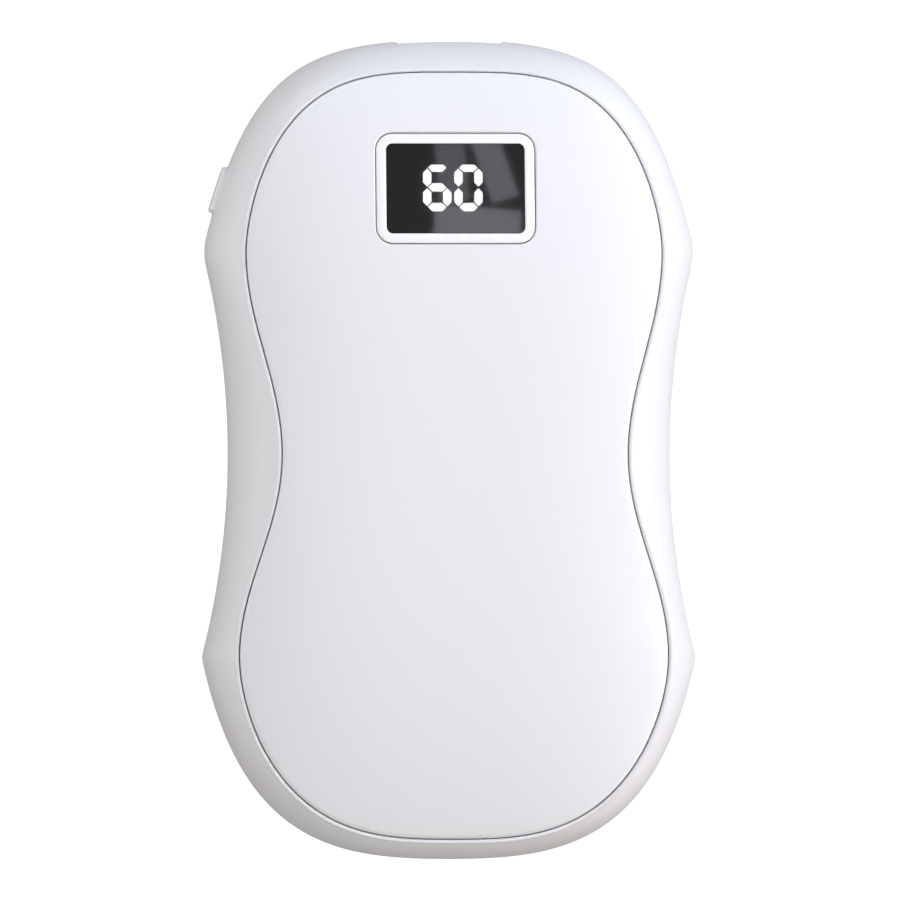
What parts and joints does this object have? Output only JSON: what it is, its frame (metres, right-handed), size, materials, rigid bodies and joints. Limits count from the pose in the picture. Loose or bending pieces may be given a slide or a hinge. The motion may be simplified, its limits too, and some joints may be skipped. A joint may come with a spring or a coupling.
{
  "type": "rechargeable hand warmer",
  "caption": "Waisted white pocket hand warmer with domed covers, a small dark digit display, a sprung side button and a charging port.",
  "frame": {"origin": "on the flat rest face of the rear cover, below the middle of the body", "axes": "+X across the body to the right as the display is read, +Y along the body to the end with the charging port, +Z out of the front cover with the display"},
  "size_m": [0.0606, 0.1, 0.025],
  "materials": {
    "amber_film": "polyimide film",
    "black_foam": "closed-cell foam",
    "black_lead": "silicone sleeve",
    "black_plastic": "fine matt moulding",
    "dark_ceramic": "fired ceramic",
    "ferrite": "matt ferrite",
    "gold_contact": "gold flash",
    "green_board": "solder mask over glass fibre",
    "grey_plastic": "plain moulding",
    "ivory_plastic": "plain moulding",
    "lit_bar": "glowing light guide",
    "pale_foam": "open-cell foam",
    "pouch_foil": "satin laminate foil",
    "red_lead": "silicone sleeve",
    "screw_steel": "zinc plating",
    "smoked_lens": "clear smoked lens",
    "spreader_metal": "rolled sheet",
    "steel_shell": "bright nickel plating",
    "tan_ceramic": "fired ceramic",
    "tinned_metal": "bright tin plating",
    "unlit_bar": "unlit light guide",
    "white_bezel": "glossy white moulding",
    "white_ceramic": "fired ceramic",
    "white_cover": "satin white moulding",
    "white_lead": "silicone sleeve",
    "white_shell": "satin white moulding"
  },
  "bodies": {
    "case": {"front_housing": "white_shell", "rear_housing": "white_shell", "front_cover": "white_cover", "rear_cover": "white_cover", "display_bezel": "white_bezel", "display_window": "smoked_lens", "display_gasket": "black_foam", "display_module": "black_plastic", "lit_segments": "lit_bar", "dark_segments": "unlit_bar", "display_pins": "tinned_metal", "switch_body": "black_plastic", "switch_cover": "tinned_metal", "charging_port_shell": "steel_shell", "charging_port_tongue": "black_plastic", "charging_port_contacts": "gold_contact", "main_board": "green_board", "board_screws": "screw_steel", "microcontroller": "black_plastic", "charging_chip": "black_plastic", "power_inductor": "ferrite", "power_transistors": "black_plastic", "capacitors": "tan_ceramic", "resistors": "dark_ceramic", "lead_sockets": "ivory_plastic", "lead_plugs": "ivory_plastic", "inner_tray": "grey_plastic", "housing_screws": "screw_steel", "battery_cell": "pouch_foil", "battery_adhesive_pad": "pale_foam", "battery_tabs": "tinned_metal", "protection_board": "green_board", "thermal_fuse": "white_ceramic", "battery_lead_red": "red_lead", "battery_lead_black": "black_lead", "front_heat_spreader": "spreader_metal", "front_heater_film": "amber_film", "front_insulation_pad": "pale_foam", "front_temperature_sensor": "black_plastic", "front_heater_leads": "red_lead", "front_sensor_leads": "white_lead", "rear_heat_spreader": "spreader_metal", "rear_heater_film": "amber_film", "rear_insulation_pad": "pale_foam", "rear_temperature_sensor": "black_plastic", "rear_heater_leads": "red_lead", "rear_sensor_leads": "white_lead"},
    "button": {"power_button": "white_shell", "switch_plunger": "ivory_plastic"}
  },
  "joints": [
    {"name": "button_press", "type": "slide", "parent": "case", "child": "button", "axis": [0.9506, -0.3104, 0], "range_m": [0, 0.0003], "stiffness_N_per_m": 1500}
  ]
}
